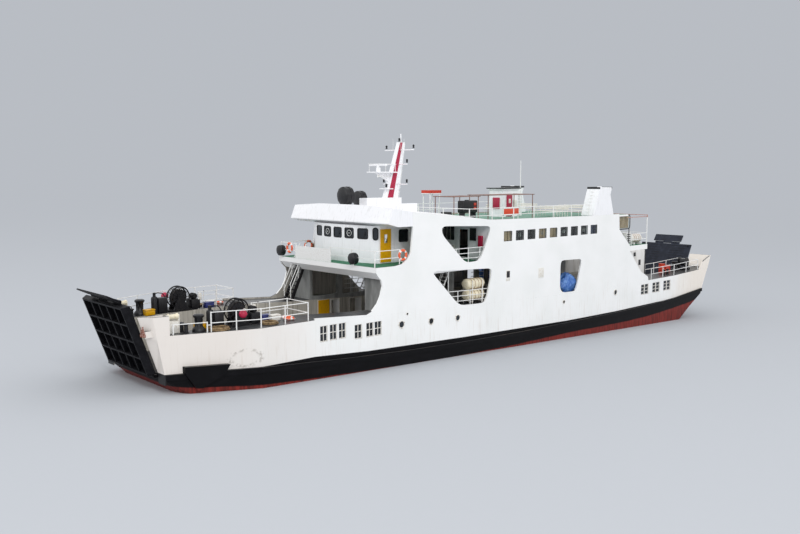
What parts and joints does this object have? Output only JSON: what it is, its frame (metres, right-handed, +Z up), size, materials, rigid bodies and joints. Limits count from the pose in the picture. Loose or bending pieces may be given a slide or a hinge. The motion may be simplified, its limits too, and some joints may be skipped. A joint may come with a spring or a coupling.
{
  "type": "1:2 scale model of a car ferry with bow and stern ramps",
  "caption": "Half-scale car ferry: open vehicle lane between bow and stern ramps, side casings, tall slab-sided superstructure with bridge, side windows and twin funnels.",
  "frame": {"origin": "amidships on the centreline, at the waterline", "axes": "+X aft along the centreline, +Y to starboard, +Z up"},
  "size_m": [30.6353, 5.341, 9.11],
  "materials": {
    "hull_black": "satin",
    "white_paint": "satin",
    "grey_paint": "satin",
    "gear_black": "satin",
    "yellow_paint": "satin",
    "rail_white": "gloss",
    "raft_cream": "satin",
    "bronze": "satin",
    "deck_green": "matte",
    "red_paint": "satin",
    "ramp_navy": "satin"
  },
  "bodies": {
    "ship": {"hull": "hull_black", "passenger_deck": "deck_green", "wheelhouse": "white_paint", "bridge_front_rail": "rail_white", "house_front_bulkhead": "white_paint", "house_aft_bulkhead": "white_paint", "bridge_roof": "white_paint", "sun_deck": "deck_green", "aft_gallery": "rail_white", "sun_deck_rail": "rail_white", "mast": "white_paint", "whip_mast": "rail_white", "bridge_stairs": "gear_black", "canopy": "red_paint", "deck_house": "white_paint", "port_fender": "hull_black", "starboard_fender": "hull_black", "port_side_casing": "white_paint", "starboard_side_casing": "white_paint", "port_bow_shoulder": "white_paint", "starboard_bow_shoulder": "white_paint", "port_shell_forward": "white_paint", "starboard_shell_forward": "white_paint", "port_shell_aft": "white_paint", "starboard_shell_aft": "white_paint", "port_gallery_wall": "grey_paint", "starboard_gallery_wall": "grey_paint", "port_gallery_bulkhead": "grey_paint", "starboard_gallery_bulkhead": "grey_paint", "port_stern_bulwark": "white_paint", "starboard_stern_bulwark": "white_paint", "port_funnel": "white_paint", "starboard_funnel": "white_paint", "port_winch_frame": "gear_black", "starboard_winch_frame": "gear_black", "port_fore_deck_rail": "rail_white", "starboard_fore_deck_rail": "rail_white", "port_aft_deck_rail": "rail_white", "starboard_aft_deck_rail": "rail_white", "port_life_raft_rack": "raft_cream", "starboard_life_raft_rack": "raft_cream", "port_anchor": "gear_black", "starboard_anchor": "gear_black"},
    "bow_ramp": {"bow_ramp": "gear_black"},
    "bow_flap": {"bow_flap": "gear_black"},
    "stern_ramp": {"stern_ramp": "ramp_navy"},
    "stern_flap": {"stern_flap": "ramp_navy"},
    "radar_scanner": {"radar_scanner": "rail_white"},
    "port_propeller": {"port_propeller": "bronze"},
    "starboard_propeller": {"starboard_propeller": "bronze"},
    "port_rudder": {"port_rudder": "hull_black"},
    "starboard_rudder": {"starboard_rudder": "hull_black"},
    "port_winch_drum": {"port_winch_drum": "gear_black"},
    "starboard_winch_drum": {"starboard_winch_drum": "gear_black"},
    "port_bridge_door": {"port_bridge_door": "yellow_paint"},
    "starboard_bridge_door": {"starboard_bridge_door": "yellow_paint"},
    "port_casing_door": {"port_casing_door": "yellow_paint"},
    "starboard_casing_door": {"starboard_casing_door": "yellow_paint"}
  },
  "joints": [
    {"name": "bow_ramp_hinge", "type": "hinge", "parent": "ship", "child": "bow_ramp", "pos_m": [-14.31, 0, 1.01], "axis": [0, -1, 0], "range_deg": [0, 80]},
    {"name": "bow_flap_hinge", "type": "hinge", "parent": "bow_ramp", "child": "bow_flap", "pos_m": [-15.01, 0, 3.0429], "axis": [0, -1, 0], "range_deg": [-45, 20]},
    {"name": "stern_ramp_hinge", "type": "hinge", "parent": "ship", "child": "stern_ramp", "pos_m": [13.76, 0, 0.74], "axis": [0, 1, 0], "range_deg": [0, 68]},
    {"name": "stern_flap_hinge", "type": "hinge", "parent": "stern_ramp", "child": "stern_flap", "pos_m": [14.9478, 0, 2.8828], "axis": [0, 1, 0], "range_deg": [-25, 30]},
    {"name": "port_shaft", "type": "hinge", "parent": "ship", "child": "port_propeller", "pos_m": [10.8, -1.05, -0.9], "axis": [1, 0, 0], "continuous": true},
    {"name": "starboard_shaft", "type": "hinge", "parent": "ship", "child": "starboard_propeller", "pos_m": [10.8, 1.05, -0.9], "axis": [1, 0, 0], "continuous": true},
    {"name": "port_rudder_stock", "type": "hinge", "parent": "ship", "child": "port_rudder", "pos_m": [11.475, -1.05, -0.3], "axis": [0, 0, 1], "range_deg": [-35, 35]},
    {"name": "starboard_rudder_stock", "type": "hinge", "parent": "ship", "child": "starboard_rudder", "pos_m": [11.475, 1.05, -0.3], "axis": [0, 0, 1], "range_deg": [-35, 35]},
    {"name": "radar_turn", "type": "hinge", "parent": "ship", "child": "radar_scanner", "pos_m": [-5.175, 0, 6.6], "axis": [0, 0, 1], "continuous": true},
    {"name": "port_winch_axle", "type": "hinge", "parent": "ship", "child": "port_winch_drum", "pos_m": [-12, -1.7, 2.575], "axis": [0, 1, 0], "continuous": true},
    {"name": "starboard_winch_axle", "type": "hinge", "parent": "ship", "child": "starboard_winch_drum", "pos_m": [-12, 1.7, 2.575], "axis": [0, 1, 0], "continuous": true},
    {"name": "port_bridge_door_hinge", "type": "hinge", "parent": "ship", "child": "port_bridge_door", "pos_m": [-6.625, -1.7377, 4.05], "axis": [0, 0, -1], "range_deg": [0, 95]},
    {"name": "starboard_bridge_door_hinge", "type": "hinge", "parent": "ship", "child": "starboard_bridge_door", "pos_m": [-6.625, 1.7377, 4.05], "axis": [0, 0, 1], "range_deg": [0, 95]},
    {"name": "port_casing_door_hinge", "type": "hinge", "parent": "ship", "child": "port_casing_door", "pos_m": [-6.75, -1.4623, 1.45], "axis": [0, 0, 1], "range_deg": [0, 95]},
    {"name": "starboard_casing_door_hinge", "type": "hinge", "parent": "ship", "child": "starboard_casing_door", "pos_m": [-6.75, 1.4623, 1.45], "axis": [0, 0, -1], "range_deg": [0, 95]}
  ],
  "couplings": [
    {"joint": "starboard_rudder_stock", "follows": "port_rudder_stock", "ratio": 1}
  ]
}
